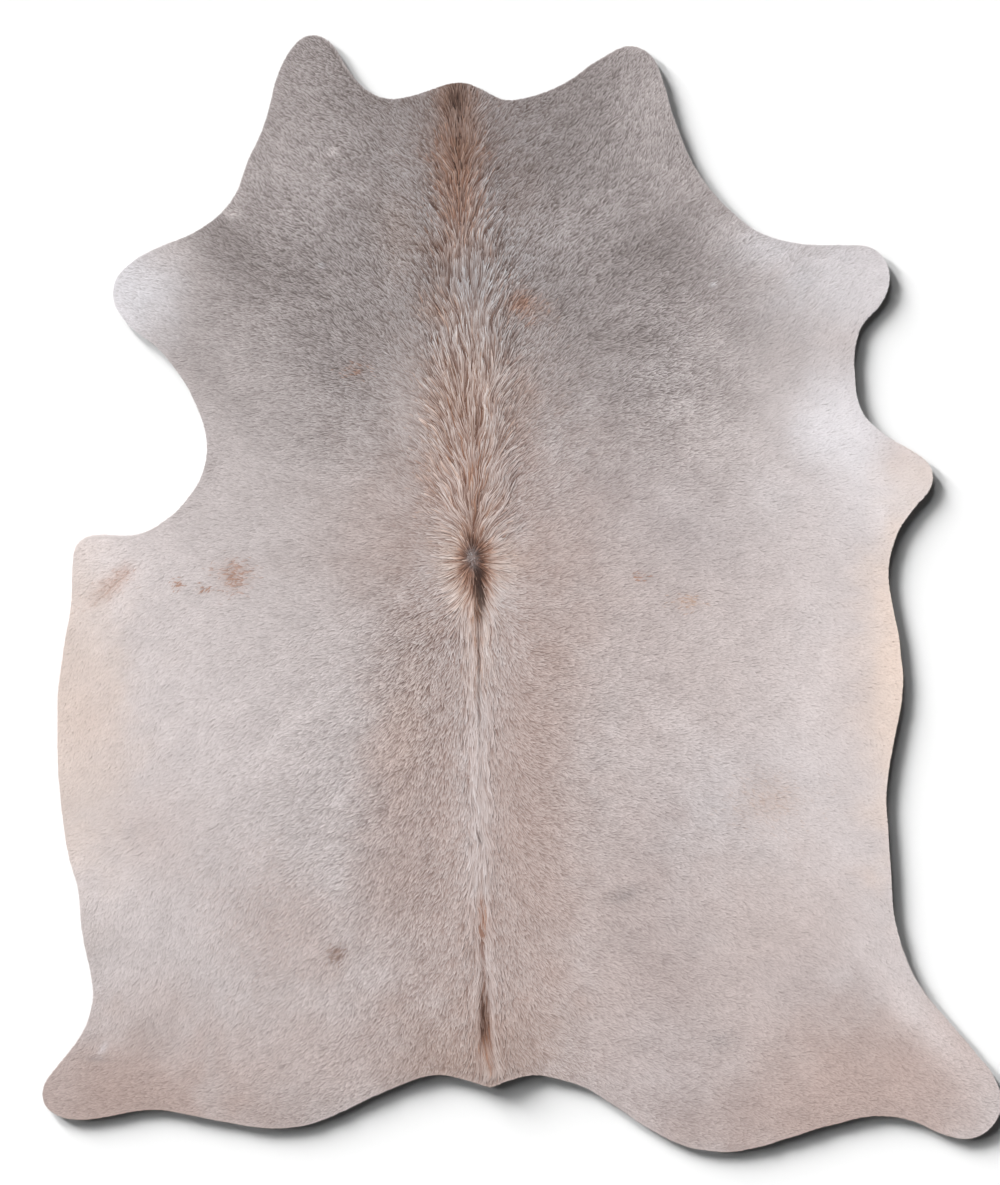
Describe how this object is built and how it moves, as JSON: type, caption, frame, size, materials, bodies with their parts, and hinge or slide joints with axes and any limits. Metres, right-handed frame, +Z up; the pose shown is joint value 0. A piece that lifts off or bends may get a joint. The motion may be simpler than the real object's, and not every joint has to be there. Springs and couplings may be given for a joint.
{
  "type": "cowhide rug",
  "caption": "Hair-on cowhide laid flat as a floor rug, with the whole hide's outline of neck, legs, belly and rump.",
  "frame": {"origin": "on the floor, under the middle of the rug's box", "axes": "+Z up out of the hair side, +Y along the hide to the neck, +X to the right as seen from above"},
  "size_m": [1.83, 2.13, 0.0089],
  "materials": {
    "hair_on_hide": "short lying hair, matt with a soft sheen, on tanned leather with a suede underside"
  },
  "bodies": {
    "root": {"hide": "hair_on_hide"}
  },
  "joints": []
}
